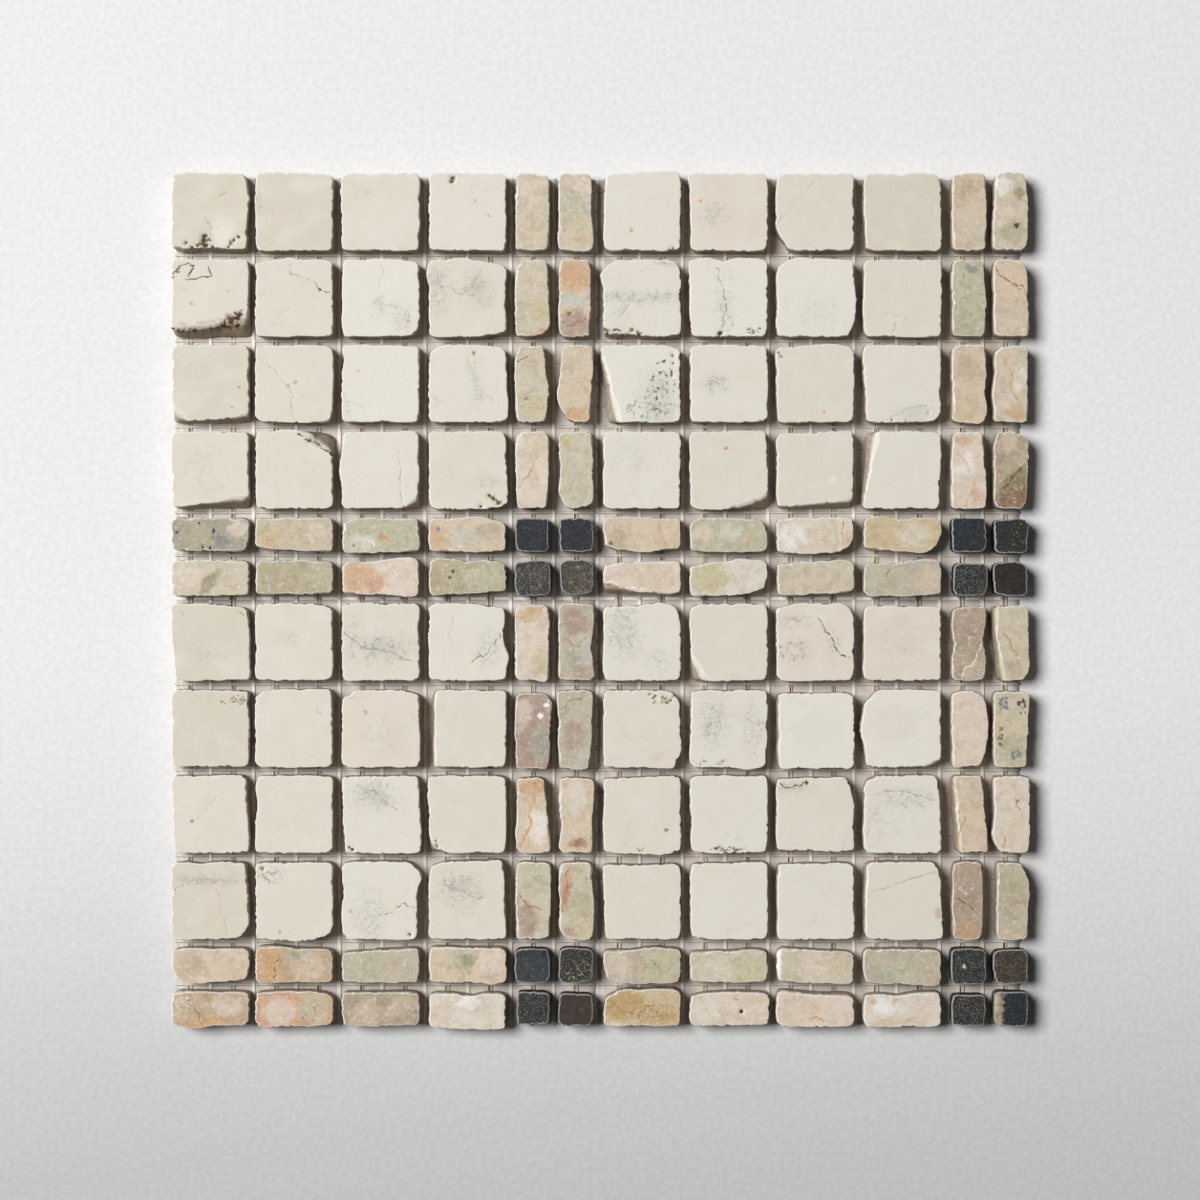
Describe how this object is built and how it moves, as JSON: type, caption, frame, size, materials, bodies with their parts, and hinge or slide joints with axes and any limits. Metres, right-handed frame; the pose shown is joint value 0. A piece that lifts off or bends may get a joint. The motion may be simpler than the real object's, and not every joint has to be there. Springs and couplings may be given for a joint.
{
  "type": "mosaic tile sheet",
  "caption": "Square mosaic sheet of tumbled marble in a plaid layout: cream squares, narrow veined strips and small black squares, glued on a glass fibre mesh.",
  "frame": {"origin": "middle of the sheet, on the underside of the backing mesh", "axes": "+X to the right and +Y up the sheet as its face is looked at, +Z out of the face"},
  "size_m": [0.3035, 0.3033, 0.01],
  "materials": {
    "cream_marble": "tumbled, honed matt",
    "veined_marble": "tumbled, honed matt",
    "black_marble": "tumbled, matt",
    "mesh_glass_fibre": "open woven mesh, milky"
  },
  "bodies": {
    "root": {"backing_mesh_bottom_left": "mesh_glass_fibre", "backing_mesh_bottom_right": "mesh_glass_fibre", "backing_mesh_top_left": "mesh_glass_fibre", "backing_mesh_top_right": "mesh_glass_fibre", "black_squares_rows_05_06_cols_05_06": "black_marble", "black_squares_rows_05_06_cols_11_12": "black_marble", "black_squares_rows_11_12_cols_05_06": "black_marble", "black_squares_rows_11_12_cols_11_12": "black_marble", "cream_squares_row_01_cols_01_04": "cream_marble", "cream_squares_row_01_cols_07_10": "cream_marble", "cream_squares_row_02_cols_01_04": "cream_marble", "cream_squares_row_02_cols_07_10": "cream_marble", "cream_squares_row_03_cols_01_04": "cream_marble", "cream_squares_row_03_cols_07_10": "cream_marble", "cream_squares_row_04_cols_01_04": "cream_marble", "cream_squares_row_04_cols_07_10": "cream_marble", "cream_squares_row_07_cols_01_04": "cream_marble", "cream_squares_row_07_cols_07_10": "cream_marble", "cream_squares_row_08_cols_01_04": "cream_marble", "cream_squares_row_08_cols_07_10": "cream_marble", "cream_squares_row_09_cols_01_04": "cream_marble", "cream_squares_row_09_cols_07_10": "cream_marble", "cream_squares_row_10_cols_01_04": "cream_marble", "cream_squares_row_10_cols_07_10": "cream_marble", "lying_strips_row_05_cols_01_04": "veined_marble", "lying_strips_row_05_cols_07_10": "veined_marble", "lying_strips_row_06_cols_01_04": "veined_marble", "lying_strips_row_06_cols_07_10": "veined_marble", "lying_strips_row_11_cols_01_04": "veined_marble", "lying_strips_row_11_cols_07_10": "veined_marble", "lying_strips_row_12_cols_01_04": "veined_marble", "lying_strips_row_12_cols_07_10": "veined_marble", "upright_strips_rows_01_04_col_05": "veined_marble", "upright_strips_rows_01_04_col_06": "veined_marble", "upright_strips_rows_01_04_col_11": "veined_marble", "upright_strips_rows_01_04_col_12": "veined_marble", "upright_strips_rows_07_10_col_05": "veined_marble", "upright_strips_rows_07_10_col_06": "veined_marble", "upright_strips_rows_07_10_col_11": "veined_marble", "upright_strips_rows_07_10_col_12": "veined_marble"}
  },
  "joints": []
}
